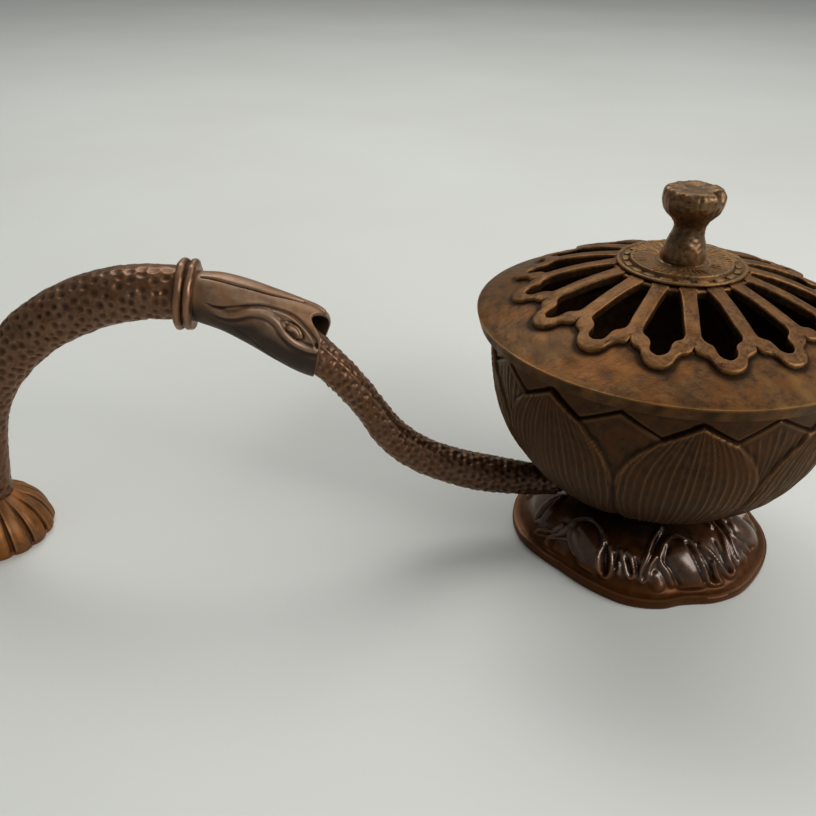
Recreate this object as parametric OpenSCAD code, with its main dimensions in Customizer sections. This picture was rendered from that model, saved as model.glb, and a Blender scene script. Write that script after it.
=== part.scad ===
// Long-handled incense burner: a lotus bowl with a pierced lid, a leaf foot under the bowl,
// and a swan-necked handle that comes down to a small fluted foot of its own.
// +Z is up, the handle runs towards -X, and everything rests on z = 0.

/* [Bowl] */
// Largest radius of the bowl
bowl_r = 54.2; // [53.6:0.1:55]
// Height of the bowl's mouth above the table
bowl_top = 78.8; // [77:0.1:79]
// Height of the bowl's underside
bowl_base = 22.5; // [22.2:0.1:22.8]
// Wall thickness of the bowl
bowl_wall = 2.6; // [2:0.1:3]

/* [Foot] */
// Radius of the leaf-shaped foot
foot_r = 43.3; // [42:0.1:45]
// Height of the foot's crown
foot_h = 16.5; // [16:0.1:17]

/* [Lid] */
// Radius of the lid's sharp edge
lid_r = 60; // [59:0.1:61]
// Height of the lid's sharp edge above the table
lid_edge_z = 82.8; // [82.5:0.1:83.2]
// How far the open work stands proud of the lid
relief = 1.2; // [1:0.1:2]
// Number of petals in the open work
petal_count = 16; // [14:1:16]
// Small turn of the loose lid about its own axis, in degrees
lid_turn = 1; // [-10:1:10]

/* [Knob] */
// Radius of the knob's head
knob_r = 8.95; // [8:0.05:11]
// Height of the knob's top above the table
knob_top = 122; // [120:0.1:124]

/* [Handle] */
// Radius of the collar between the two stems
collar_r = 10.9; // [10:0.1:12]
// Radius of the rear foot
rear_foot_r = 19.6; // [19:0.1:22]
// Distance from the bowl's axis to the rear foot's axis
rear_foot_x = 225.3; // [224.5:0.1:226]

/* [Hidden] */
$fn = 96;

overall_l = rear_foot_x + rear_foot_r + lid_r;
bowl_x = overall_l / 2 - lid_r;      // the origin is under the middle of the whole length
tang_z = 19;                         // underside of the handle's eye, on top of the neck
foot_seat = 13.5;                    // flat underside of the foot's crown
bolt_r = 2.9;
bolt_hole_r = 3.1;
rivet_seat = 15;                     // flat underside of the rear foot's crown
stud_r = 2.4;
stud_hole_r = 2.6;
seat_z = 79;                         // underside of the lid, just clear of the bowl's mouth
mouth_r = bowl_r - 3;                // inner radius of the bowl's mouth
ring_r = mouth_r - 0.8;              // outer radius of the ring that centres the lid
crown_z = 98.5;                      // flat top of the open work, where the disc sits
crown_under = 95.2;                  // flat underside of the same crown
disc_top = 99.9;
pitch = 360 / petal_count;
round_sides = 20;                    // sides of a swept stem

// The stems' centre lines in the plane y = 0, as [towards the handle, height] control points
stem_rise = [[30, 20.6], [62.6, 22.6], [82.8, 29.9], [91.2, 46.2]];
stem_reach = [[91.2, 46.2], [108, 72.4], [123.5, 82.2], [147, 88.9]];
arch_over = [[149.2, 89.3], [167, 92], [187.5, 85.5], [201.4, 72.5]];
arch_down = [[201.4, 72.5], [218.5, 56.4], [219.8, 46.8], [223.5, 16.2]];
// The sheath's upper and lower edges in the same plane
sheath_top = [[144.2, 96], [132, 95.2], [120, 89.3], [106.2, 83.6]];
sheath_bottom = [[145.2, 80.8], [132, 77.2], [121, 64.5], [111.2, 61.6]];

function bezier(p, t) =
    pow(1 - t, 3) * p[0] + 3 * t * pow(1 - t, 2) * p[1] + 3 * t * t * (1 - t) * p[2] + pow(t, 3) * p[3];
function bezier_slope(p, t) =
    3 * pow(1 - t, 2) * (p[1] - p[0]) + 6 * t * (1 - t) * (p[2] - p[1]) + 3 * t * t * (p[3] - p[2]);
function mix(a, b, t) = a + (b - a) * t;
function unit(v) = v / norm(v);

// A ring of points round a centre: up is the half height as a vector, side the half width along Y
function ring(centre, up, side) = [for (i = [0:round_sides - 1])
    let (a = 360 * i / round_sides, p = centre + up * cos(a)) [-p[0], side * sin(a), p[1]]];

// A ring square to a centre line, radius r
function stem_ring(path, t, r) =
    let (d = unit(bezier_slope(path, t))) ring(bezier(path, t), [-d[1], d[0]] * r, r);

// Joins rings, in order, into a closed skin; capped makes end faces, else the last ring meets the first
module skin(rings, capped) {
    n = round_sides;
    count = len(rings);
    last = capped ? count - 2 : count - 1;
    sides = [for (k = [0:last], i = [0:n - 1])
        let (a = k * n, b = ((k + 1) % count) * n, j = (i + 1) % n)
        each [[a + i, a + j, b + j], [a + i, b + j, b + i]]];
    ends = capped ? [[for (i = [n - 1:-1:0]) i], [for (i = [0:n - 1]) (count - 1) * n + i]] : [];
    polyhedron(points = [for (r = rings) each r], faces = concat(sides, ends));
}

// Everything round the bowl's axis
module at_bowl() translate([bowl_x, 0, 0]) children();

// The lid's parts turn together on that axis
module at_lid() at_bowl() rotate([0, 0, lid_turn]) children();

module ring_solid(inner, outer, low, high)
    rotate_extrude() translate([inner, low]) square([outer - inner, high - low]);

module foot_leaf() color([0.27, 0.12, 0.08]) at_bowl() rotate_extrude() polygon([
    [bolt_hole_r, foot_h], [17, foot_h - 0.2], [22, foot_h - 0.9], [27.5, foot_h - 2.3],
    [32, foot_h - 4.5], [35.5, foot_h - 7.5], [foot_r - 5.5, 6], [foot_r - 3.8, 4.4],
    [foot_r - 0.5, 3], [foot_r, 1.5], [foot_r - 0.3, 0], [foot_r - 4, 0],
    [foot_r - 6, 1.8], [34, 5], [31, 8.6], [26.5, 11], [20, 12.8], [14, foot_seat],
    [bolt_hole_r, foot_seat]]);

module pedestal_neck() color([0.2, 0.1, 0.07]) at_bowl()
    rotate_extrude() polygon([[bolt_hole_r, foot_h], [14, foot_h], [12.6, 17.7], [13.2, tang_z],
        [bolt_hole_r, tang_z]]);

// The flat eye that is clamped under the bowl, with a tongue into the stem
module handle_tang() color([0.22, 0.11, 0.08]) at_bowl() difference() {
    union() {
        translate([0, 0, tang_z]) cylinder(r = 13, h = bowl_base - tang_z);
        translate([-36, -4, tang_z]) cube([26, 8, 2.6]);
    }
    translate([0, 0, tang_z - 1]) cylinder(r = bolt_hole_r, h = 6);
}

module base_bolt() color([0.45, 0.33, 0.2]) at_bowl() union() {
    translate([0, 0, 8]) cylinder(r = bolt_r, h = bowl_base + bowl_wall - 8);
    translate([0, 0, bowl_base + bowl_wall]) cylinder(r1 = 5.6, r2 = 4.2, h = 2.4);
}

module base_washer() color([0.45, 0.33, 0.2]) at_bowl()
    ring_solid(bolt_hole_r, 7, foot_seat - 1, foot_seat);

module base_nut() color([0.5, 0.38, 0.22]) at_bowl() difference() {
    translate([0, 0, foot_seat - 4.6]) cylinder(r = 6, h = 3.6, $fn = 6);
    translate([0, 0, foot_seat - 5]) cylinder(r = bolt_r, h = 5);
}

// The bowl is a deep round cup with a flat floor and a plain band below its mouth
module bowl() color([0.19, 0.11, 0.08]) at_bowl() rotate_extrude() polygon([
    [bolt_hole_r, bowl_base], [14, bowl_base], [20, 22.9], [25, 24.2], [30, 26.3], [35, 29.2],
    [39, 32.4], [42.5, 36], [45.7, 40.2], [48.6, 45], [50.7, 50], [52.2, 55], [53.2, 60],
    [bowl_r - 0.2, 66], [bowl_r, 71], [bowl_r - 0.3, bowl_top], [mouth_r, bowl_top],
    [bowl_r - bowl_wall, 71], [bowl_r - bowl_wall - 0.3, 66], [50.4, 60], [49.4, 55], [47.9, 50],
    [45.8, 45], [43, 40.6], [39.8, 36.8], [36.4, 33.6], [32.6, 30.9], [28, 28.4], [23, 26.4],
    [18, bowl_base + bowl_wall], [bolt_hole_r, bowl_base + bowl_wall]]);

module stem_lower() color([0.33, 0.18, 0.11]) at_bowl() {
    steps = 14;
    rise = [for (k = [0:steps - 1]) let (t = k / steps)
        stem_ring(stem_rise, t, min(5 + 5 * t, 6.3 - 1.1 * pow(t, 3)))];
    reach = [for (k = [0:steps]) let (t = k / steps)
        stem_ring(stem_reach, t, min(5.2 + 4 * t * t, 6))];
    skin(concat(rise, reach), true);
}

// A furled leaf: a hollow shell, open towards the bowl, with its lower wall against the stem
module leaf_sheath() color([0.36, 0.2, 0.13]) at_bowl() {
    steps = 14;
    wall = 1.5;
    floor_wall = 3.3;
    outer = [for (k = [0:steps])
        let (t = k / steps, a = bezier(sheath_top, t), b = bezier(sheath_bottom, t))
        ring((a + b) / 2, (a - b) / 2, 7.8 + 0.7 * sin(180 * t))];
    inner = [for (k = [steps:-1:0])
        let (t = k / steps, a = bezier(sheath_top, t), b = bezier(sheath_bottom, t), u = unit(a - b),
            low = mix(wall, floor_wall, min(1, 3 * t)), lid = a - u * wall, sill = b + u * low)
        ring((lid + sill) / 2, (lid - sill) / 2, 6.3 + 0.7 * sin(180 * t))];
    skin(concat(outer, inner), false);
}

// Two beads side by side, square to the handle where the two stems meet
module collar() color([0.36, 0.19, 0.12]) at_bowl()
    translate([-147.6, 0, 89]) rotate([0, 7.7, 0]) rotate([0, -90, 0]) rotate_extrude() union() {
        translate([6.1, -3.6]) square([3.2, 3.6]);
        translate([8.5, 0]) square([0.8, 3.6]);
        translate([collar_r - 2.2, -1.75]) circle(r = 1.75, $fn = 32);
        translate([collar_r - 2, 1.8]) circle(r = 2, $fn = 32);
    }

module stem_upper() color([0.33, 0.18, 0.11]) at_bowl() {
    steps = 14;
    over = [for (k = [0:steps - 1]) let (t = k / steps)
        stem_ring(arch_over, t, 7.9 + 0.6 * sin(180 * t))];
    down = [for (k = [0:steps]) let (t = k / steps)
        stem_ring(arch_down, t, mix(7.9, 6.5, min(1, 1.4 * t)))];
    skin(concat(over, down), true);
}

module rear_foot() color([0.4, 0.23, 0.12]) at_bowl() translate([-rear_foot_x, 0, 0])
    rotate_extrude() polygon([
        [3.1, 16.6], [7.4, 16.4], [11.2, 14.2], [14.5, 11.6], [17.2, 8.4], [18.9, 5],
        [rear_foot_r, 2.2], [rear_foot_r, 0], [rear_foot_r - 2.4, 0], [16.4, 3.8], [14.6, 7],
        [12.2, 10.1], [9.4, 12.6], [7, rivet_seat - 0.8], [6, rivet_seat], [3.1, rivet_seat]]);

// The riveted tenon that holds the rear foot on the end of the handle
module foot_rivet() color([0.45, 0.33, 0.2]) at_bowl() translate([-rear_foot_x, 0, 0]) union() {
    translate([0, 0, rivet_seat]) cylinder(r = 3, h = 5);
    translate([0, 0, rivet_seat - 1.6]) cylinder(r1 = 4, r2 = 5, h = 1.6);
}

// Plan of one opening: narrow at the centre, two shoulders, and a rounded end lobe
module opening_plan() {
    edge = [[19.7, 1.1], [20.4, 1.65], [24.5, 2.7], [30, 3.75], [36.8, 5.2], [39.4, 4.4],
        [41.4, 2.65], [43.2, 2.65]];
    far = [for (k = [len(edge) - 1:-1:0]) [edge[k][0], -edge[k][1]]];
    polygon(concat(edge, far));
    for (side = [-1, 1]) translate([37.6, side * 3.2]) circle(r = 2.2);
    translate([43.2, 0]) circle(r = 2.65);
}

// Plan of the gap between two petals, with its point inwards, on the line between them
module notch_plan() {
    edge = [[43.9, 1.5], [44.6, 3.5], [46, 4.6], [47.8, 5.8], [48.9, 7.6], [51, 9.3]];
    far = [for (p = edge) [p[0], -p[1]]];
    polygon(concat([[41.9, 0]], edge, [for (k = [len(far) - 1:-1:0]) far[k]]));
}

module openings() for (k = [0:petal_count - 1]) rotate([0, 0, k * pitch])
    translate([0, 0, 60]) linear_extrude(50) opening_plan();

// The sloping brim, with the end lobes of the openings cut into its inner edge
module lid_brim() color([0.42, 0.25, 0.14]) at_lid() difference() {
    rotate_extrude() polygon([[41.5, 88.2], [ring_r, 84.4], [ring_r, seat_z], [lid_r - 1.2, seat_z],
        [lid_r - 0.2, lid_edge_z - 0.8], [lid_r, lid_edge_z], [55, 84.9], [49.8, 87], [46, 88.6],
        [41.5, 90.3]]);
    openings();
}

module locating_ring() color([0.38, 0.22, 0.13]) at_lid()
    rotate_extrude() polygon([[ring_r - 2.2, 72], [ring_r, 72], [ring_r, 84.4], [ring_r - 2.2, 85.3]]);

// Raised ribs: full depth over the opening in the brim, and lying on the brim outside it
module rosette_grille() color([0.45, 0.27, 0.17]) at_lid() difference() {
    rotate_extrude() polygon([[stud_hole_r, crown_z], [19, crown_z], [22, 97.9], [27, 96.7],
        [32, 95.3], [37, 93.6], [41.5, 90.3 + relief], [46, 88.6 + relief], [49.8, 87 + relief],
        [49.8, 87], [46, 88.6], [41.5, 90.3], [41.5, 88.7], [37, 90.8], [32, 92.7], [27, 94.2],
        [22, 95.2], [8, crown_under], [stud_hole_r, crown_under]]);
    openings();
    for (k = [0:petal_count - 1]) rotate([0, 0, (k + 0.5) * pitch])
        translate([0, 0, 60]) linear_extrude(50) notch_plan();
}

// The stepped disc in the middle, with a thin edge line and a channel for the stamens
module rosette_disc() color([0.42, 0.26, 0.17]) at_lid() rotate_extrude() polygon([
    [stud_hole_r, crown_z], [18.4, crown_z], [19, 98.9], [19, 99.3], [18.6, 99.6], [17.8, 99.6],
    [17.4, 99.1], [15.2, 99.1], [15, 100], [14.5, 100.3], [8, disc_top], [stud_hole_r, disc_top]]);

// Short bars set radially in the channel
module stamen_ring() color([0.34, 0.19, 0.12]) at_lid() union() {
    bars = 20;
    for (k = [0:bars - 1]) rotate([0, 0, k * 360 / bars + 4])
        translate([15.2, -1.8, 99.1]) cube([2.1, 3.6, 0.4]);
}

module knob() color([0.36, 0.2, 0.11]) at_lid() rotate_extrude() polygon([
    [stud_r, disc_top], [6.2, disc_top], [6.4, 101.2], [6.3, 103], [5.6, 105.3], [4.7, 107.6],
    [4.4, 109.2], [4.6, 110.8], [5.5, 112.2], [6.9, 113.6], [knob_r - 0.85, 115.2],
    [knob_r - 0.2, 117], [knob_r, 118.4], [knob_r - 0.15, 119.6], [knob_r - 0.85, 120.7],
    [knob_r - 1.95, knob_top - 0.5], [5.6, knob_top], [4.2, knob_top - 0.2], [0, knob_top - 0.4],
    [0, 112], [stud_r, 112]]);

// The threaded stud that draws the knob and the disc down on the crown
module knob_stud() color([0.5, 0.38, 0.22]) at_lid()
    translate([0, 0, crown_under - 6.4]) cylinder(r = stud_r, h = 23.2);

module knob_washer() color([0.5, 0.38, 0.22]) at_lid()
    ring_solid(stud_hole_r, 6, crown_under - 1, crown_under);

module knob_nut() color([0.5, 0.38, 0.22]) at_lid() difference() {
    translate([0, 0, crown_under - 4.4]) cylinder(r = 5, h = 3.4, $fn = 6);
    translate([0, 0, crown_under - 5]) cylinder(r = stud_r, h = 5);
}

foot_leaf();
pedestal_neck();
handle_tang();
base_bolt();
base_washer();
base_nut();
bowl();
stem_lower();
leaf_sheath();
collar();
stem_upper();
rear_foot();
foot_rivet();
lid_brim();
locating_ring();
rosette_grille();
rosette_disc();
stamen_ring();
knob();
knob_stud();
knob_washer();
knob_nut();
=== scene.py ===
"""Looks of a long-handled lotus incense burner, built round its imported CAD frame.

Shapes are worked out in millimetres with the bowl's axis at x = 0, then moved to the frame.
The handle runs towards -X. Angles are in degrees round the bowl's axis, from +X.
"""

import math

import bpy
import numpy as np
from mathutils import Euler, Matrix, Vector


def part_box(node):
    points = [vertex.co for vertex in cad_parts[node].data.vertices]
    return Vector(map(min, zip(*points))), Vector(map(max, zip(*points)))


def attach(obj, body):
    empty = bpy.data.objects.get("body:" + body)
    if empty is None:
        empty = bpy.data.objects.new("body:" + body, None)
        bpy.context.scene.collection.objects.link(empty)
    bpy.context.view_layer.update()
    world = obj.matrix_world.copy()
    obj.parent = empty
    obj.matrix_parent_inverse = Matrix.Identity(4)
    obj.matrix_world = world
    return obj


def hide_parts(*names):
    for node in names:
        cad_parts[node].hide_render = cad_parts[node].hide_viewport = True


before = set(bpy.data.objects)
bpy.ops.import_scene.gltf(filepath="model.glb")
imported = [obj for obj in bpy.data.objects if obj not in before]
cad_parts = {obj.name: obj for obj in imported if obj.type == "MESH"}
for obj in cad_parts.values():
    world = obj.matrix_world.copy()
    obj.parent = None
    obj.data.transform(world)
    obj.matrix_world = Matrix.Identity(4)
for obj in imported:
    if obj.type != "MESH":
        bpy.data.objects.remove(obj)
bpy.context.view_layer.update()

MM = 0.001
bowl_low, bowl_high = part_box("bowl")
rear_low, rear_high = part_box("rear_foot")
AXIS_X = (bowl_low.x + bowl_high.x) / 2 / MM            # the bowl's axis in the frame
REAR_X = (rear_low.x + rear_high.x) / 2 / MM - AXIS_X   # the rear foot's axis, from the bowl's
LID_TURN = 1.0                                          # the loose lid is turned a little
PETALS = 16                                             # of the lid's open work
PITCH = 360 / PETALS
BOLT_HOLE, STUD_HOLE = 3.1, 2.6                         # radii of the holes for the fasteners
FOOT_TOP_Z, DISC_TOP_Z = 16.5, 99.9                     # where the neck and the knob stand


# ---- curves and grids

def spline(points, per_span):
    """Smooth curve through the points, with the same number of samples in every span."""
    p = np.array(points, float)
    p = np.vstack([2 * p[0] - p[1], p, 2 * p[-1] - p[-2]])
    t = np.arange(per_span)[:, None] / per_span
    spans = []
    for a, b, c, d in zip(p[:-3], p[1:-2], p[2:-1], p[3:]):
        spans.append(0.5 * (2 * b + (c - a) * t + (2 * a - 5 * b + 4 * c - d) * t ** 2
                            + (3 * b - a - 3 * c + d) * t ** 3))
    return np.vstack(spans + [p[-2:-1]])


def even(curve, count):
    """The same curve with count samples evenly spaced along it."""
    steps = np.linalg.norm(np.diff(curve, axis=0), axis=1)
    along = np.concatenate([[0], np.cumsum(steps)])
    wanted = np.linspace(0, along[-1], count)
    return np.stack([np.interp(wanted, along, curve[:, k]) for k in range(curve.shape[1])], -1)


def smooth(points, count):
    return even(spline(points, 24), count)


def straight(points, count):
    return even(np.array(points, float), count)


def joined(*pieces):
    """Pieces of a profile in a row; each starts where the one before it ends."""
    return np.vstack([pieces[0]] + [piece[1:] for piece in pieces[1:]])


def outline(start, *runs):
    """A profile from its start through runs of (straight or smooth, count, the next points)."""
    pieces = []
    for kind, count, points in runs:
        pieces.append(kind([start] + points, count))
        start = points[-1]
    return joined(*pieces)


def bezier(points, t):
    p = np.array(points, float)
    t = np.asarray(t, float)[..., None]
    return ((1 - t) ** 3 * p[0] + 3 * t * (1 - t) ** 2 * p[1]
            + 3 * t * t * (1 - t) * p[2] + t ** 3 * p[3])


def step(x, low, high):
    """0 below low, 1 above high, and smooth in between."""
    t = np.clip((x - low) / (high - low), 0, 1)
    return t * t * (3 - 2 * t)


def bell(x, width):
    return np.exp(-(x / width) ** 2)


def wrapped(angle, period):
    """Angle brought to within half a period of zero."""
    return (angle + period / 2) % period - period / 2


def turns(columns):
    """The columns' angles, evenly round."""
    return np.arange(columns) * 360 / columns


def polar(radius, degrees):
    """Points [x, y] at a radius and an angle."""
    turn = np.radians(degrees)
    return np.stack([radius * np.cos(turn), radius * np.sin(turn)], -1)


def value_at(x, pairs):
    """Reads a table of (x, value) pairs, in between its entries too."""
    return np.interp(x, *np.transpose(pairs))


def lathe(profile, columns, wobble=1):
    """Grid of a profile [radius, height] turned round the axis; wobble scales the radius."""
    angle = np.radians(turns(columns))[None, :]
    radius = profile[:, :1] * np.ones_like(angle) * wobble
    height = profile[:, 1:2] * np.ones_like(angle)
    return np.stack([radius * np.cos(angle), radius * np.sin(angle), height], -1)


def from_axis(grid):
    """Distance of every grid point from the axis."""
    return np.hypot(grid[..., 0], grid[..., 1])


def rows_of(grid, first, last):
    """A column that is 1 in the grid's rows from first up to last, and 0 in the others."""
    chosen = np.zeros((len(grid), 1))
    chosen[first:last] = 1
    return chosen


def surface_normals(grid, closed):
    """Normals of a grid whose columns wrap round; they point right of the rows' direction."""
    across = np.roll(grid, -1, 1) - np.roll(grid, 1, 1)
    along = np.roll(grid, -1, 0) - np.roll(grid, 1, 0) if closed else np.gradient(grid, axis=0)
    normal = np.cross(across, along)
    return normal / np.maximum(np.linalg.norm(normal, axis=2, keepdims=True), 1e-9)


def raised(grid, height, closed):
    """The grid moved along its normals by the heights."""
    return grid + surface_normals(grid, closed) * height[..., None]


def blurred(field, times, closed):
    """Field smoothed along rows and columns."""
    for _ in range(times):
        field = (np.roll(field, 1, 1) + 2 * field + np.roll(field, -1, 1)) / 4
        if closed:
            up, down = np.roll(field, 1, 0), np.roll(field, -1, 0)
        else:
            up, down = np.vstack([field[:1], field[:-1]]), np.vstack([field[1:], field[-1:]])
        field = (up + 2 * field + down) / 4
    return field


def hollows(height, times, closed, gain=1.0):
    """0 in a hollow, 0.5 on plain ground, 1 on a ridge; it drives the colour of the metal."""
    return np.clip(0.5 + gain * (height - blurred(height, times, closed)), 0, 1)


def ripple(grid, size, seed):
    """Soft unevenness of a casting, about -1 to 1, with features of about size mm."""
    random = np.random.RandomState(seed)
    total = np.zeros(grid.shape[:2])
    for _ in range(10):
        direction = random.normal(size=3)
        direction *= 2 * math.pi / (size * random.uniform(0.7, 1.6)) / np.linalg.norm(direction)
        total += np.sin(grid @ direction + random.uniform(0, 2 * math.pi))
    return total / 4


def distance_to(grid, line):
    """Distance of every grid point from a line of points."""
    flat = grid.reshape(-1, 3)
    best = np.full(len(flat), 1e9)
    for a, b in zip(line[:-1], line[1:]):
        span = b - a
        t = np.clip((flat - a) @ span / max(span @ span, 1e-12), 0, 1)
        best = np.minimum(best, np.linalg.norm(flat - a - t[:, None] * span, axis=1))
    return best.reshape(grid.shape[:2])


# ---- making objects

def grid_faces(rows, columns, closed):
    index = np.arange(rows * columns).reshape(rows, columns)
    below = index if closed else index[:-1]
    above = np.roll(index, -1, 0) if closed else index[1:]
    return np.stack([below, np.roll(below, -1, 1), np.roll(above, -1, 1), above], -1).reshape(-1, 4)


def make(name, points, quads, triangles, look, relief=None, sharp=35):
    """A mesh object from points in mm; look is (material, body, slot, replaced node), and the slot is not
    used.
    """
    material, body, slot, node = look
    quads = np.asarray(quads, int).reshape(-1, 4)
    triangles = np.asarray(triangles, int).reshape(-1, 3)
    halves = np.vstack([quads[:, [0, 1, 2]], quads[:, [0, 2, 3]], triangles])
    a, b, c = (points[halves[:, k]] for k in range(3))
    inside_out = np.einsum("ij,ij->i", a, np.cross(b, c)).sum() < 0
    if inside_out:
        quads, triangles = quads[:, ::-1], triangles[:, ::-1]
    mesh = bpy.data.meshes.new(name)
    mesh.vertices.add(len(points))
    mesh.vertices.foreach_set("co", ((points + [AXIS_X, 0, 0]) * MM).ravel())
    corners = np.concatenate([quads.ravel(), triangles.ravel()])
    mesh.loops.add(len(corners))
    mesh.loops.foreach_set("vertex_index", corners)
    starts = np.concatenate([np.arange(len(quads)) * 4, quads.size + np.arange(len(triangles)) * 3])
    mesh.polygons.add(len(starts))
    mesh.polygons.foreach_set("loop_start", starts)
    mesh.update(calc_edges=True)
    mesh.validate()
    mesh.shade_smooth()
    mesh.set_sharp_from_angle(angle=math.radians(sharp))
    values = np.full(len(points), 0.5) if relief is None else np.asarray(relief).ravel()
    mesh.attributes.new("relief", "FLOAT", "POINT").data.foreach_set("value", values)
    mesh.materials.append(material)
    piece = bpy.data.objects.new(name, mesh)
    bpy.context.scene.collection.objects.link(piece)
    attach(piece, body)
    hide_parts(node)


def make_ring(name, grid, look, relief=None, sharp=35):
    """A grid closed both ways, like a ring."""
    make(name, grid.reshape(-1, 3), grid_faces(*grid.shape[:2], True), [], look, relief, sharp)


def rod_points(grid):
    """A grid's points, and then the middles of its two ends."""
    return np.vstack([grid.reshape(-1, 3), grid[0].mean(0), grid[-1].mean(0)])


def rod_faces(rows, columns):
    """Quads round a rod, and the triangles that cap its two ends."""
    first = np.arange(columns)
    last = first + (rows - 1) * columns
    start, end = np.full(columns, rows * columns), np.full(columns, rows * columns + 1)
    caps = np.vstack([np.stack([np.roll(first, -1), first, start], -1),
                      np.stack([last, np.roll(last, -1), end], -1)])
    return grid_faces(rows, columns, False), caps


def make_rod(name, grid, look, relief):
    """A grid closed round, with its two ends capped."""
    quads, caps = rod_faces(*grid.shape[:2])
    make(name, rod_points(grid), quads, caps, look, np.append(relief, [0.5, 0.5]))


# ---- materials

def colour(red, green, blue):
    """Display colour, 0 to 255, as the shader's linear colour."""
    def linear(value):
        value /= 255
        return value / 12.92 if value <= 0.04045 else ((value + 0.055) / 1.055) ** 2.4
    return (linear(red), linear(green), linear(blue), 1)


class Nodes:
    """A material and short names for building its node tree."""

    def __init__(self, name):
        self.material = bpy.data.materials.new(name)
        self.material.use_nodes = True
        self.tree = self.material.node_tree
        self.tree.nodes.clear()
        self.place = self.add("ShaderNodeTexCoord").outputs["Object"]

    def add(self, kind, inputs=None, **settings):
        """A node; each of its inputs takes a number, a colour or another node's output."""
        node = self.tree.nodes.new(kind)
        for key, value in settings.items():
            setattr(node, key, value)
        for key, value in (inputs or {}).items():
            if isinstance(value, bpy.types.NodeSocket):
                self.tree.links.new(value, node.inputs[key])
            else:
                node.inputs[key].default_value = value
        return node

    def noise(self, scale, detail=4, roughness=0.55, distortion=0.0):
        return self.add("ShaderNodeTexNoise", {
            "Vector": self.place, "Scale": scale, "Detail": detail, "Roughness": roughness,
            "Distortion": distortion}).outputs["Fac"]

    def cells(self, scale):
        inputs = {"Vector": self.place, "Scale": scale}
        return self.add("ShaderNodeTexVoronoi", inputs).outputs["Distance"]

    def ranged(self, value, low, high, to_low=0.0, to_high=1.0):
        return self.add("ShaderNodeMapRange", {
            "Value": value, "From Min": low, "From Max": high, "To Min": to_low,
            "To Max": to_high}).outputs["Result"]

    def math(self, operation, a, b):
        return self.add("ShaderNodeMath", {0: a, 1: b}, operation=operation).outputs[0]

    def times(self, a, b):
        return self.math("MULTIPLY", a, b)

    def mix(self, factor, a, b):
        inputs = {"Factor": factor, "A": a, "B": b}
        return self.add("ShaderNodeMix", inputs, data_type="RGBA").outputs["Result"]

    def finished(self, shader):
        self.add("ShaderNodeOutputMaterial", {"Surface": shader.outputs["BSDF"]})
        return self.material


def patina(name, dark, mid, light, roughness=0.42, metallic=0.72, mottle=70.0, spread=0.5,
           hollow=0.8, ridge=0.6, specks=0.0, grain=0.12, coat=0.0, gloss=0.3, glow=None, warm_to=0.0):
    """Patinated bronze: mottled, dark in the hollows, worn paler on the ridges.

    Colours are display colours, 0 to 255. mottle is in features per metre, and spread is how
    strongly the tones vary. hollow and ridge are how dark the hollows and how pale the ridges get.
    specks is the share of small pale specks, grain the strength of the bump, coat the weight of
    the coat of wax and gloss its roughness. glow is a warm tint that shows in large patches and,
    where warm_to is given, everywhere below that height in metres, where the wax is worn off.
    """
    n = Nodes(name)
    dark, mid, light = colour(*dark), colour(*mid), colour(*light)
    broad = n.ranged(n.noise(mottle, 5, 0.6, 0.3), 0.36, 0.66)
    fine = n.ranged(n.noise(mottle * 7, 6, 0.65), 0.35, 0.68)
    tone = n.mix(n.times(broad, spread), mid, dark)
    tone = n.mix(n.times(fine, spread * 0.55), tone, light)
    wax = coat
    if glow:
        patches = n.ranged(n.noise(mottle * 1.2, 5, 0.6, 0.8), 0.47, 0.62)
        if warm_to:
            height = n.add("ShaderNodeSeparateXYZ", {"Vector": n.place}).outputs["Z"]
            patches = n.math("MAXIMUM", patches, n.ranged(height, warm_to + 0.0015, warm_to, 0, 1.25))
            wax = n.times(n.ranged(height, warm_to - 0.001, warm_to + 0.001), coat)
        tone = n.mix(n.times(patches, 0.6), tone, colour(*glow))
    if specks:
        spots = n.ranged(n.cells(900), 0.05, 0.2, 1, 0)
        rare = n.ranged(n.noise(240, 2), 0.56, 0.66)
        tone = n.mix(n.times(n.times(spots, rare), specks), tone, light)
    # The relief attribute holds the patina in the hollows and the wear on the ridges. It also holds painted
    # shade (low values) and painted highlights (high values) that the builders add.
    relief = n.add("ShaderNodeAttribute", attribute_name="relief").outputs["Fac"]
    hollow_and_shade = n.ranged(relief, 0.5, 0.12)
    worn = n.ranged(relief, 0.56, 0.9)
    tone = n.mix(n.times(hollow_and_shade, hollow), tone, tuple(c * 0.22 for c in dark[:3]) + (1,))
    tone = n.mix(n.times(worn, ridge), tone, light)
    uneven = n.ranged(fine, 0, 1, roughness - 0.08, roughness + 0.1)
    grit = n.math("ADD", n.times(n.noise(2600, 3, 0.6), 0.5), n.noise(700, 4, 0.6))
    bump = n.add("ShaderNodeBump", {"Strength": grain, "Distance": 0.00035, "Height": grit})
    inputs = {
        "Base Color": tone, "Metallic": metallic, "Normal": bump.outputs["Normal"],
        "Roughness": n.math("ADD", uneven, n.times(hollow_and_shade, 0.2)),
        "Specular IOR Level": 0.2 if warm_to else 0.35, "Specular Tint": (1, 0.84, 0.68, 1),
    }
    if coat:
        inputs |= {"Coat Weight": wax, "Coat Roughness": gloss, "Coat Tint": (1, 0.93, 0.86, 1)}
    return n.finished(n.add("ShaderNodeBsdfPrincipled", inputs))


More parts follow.
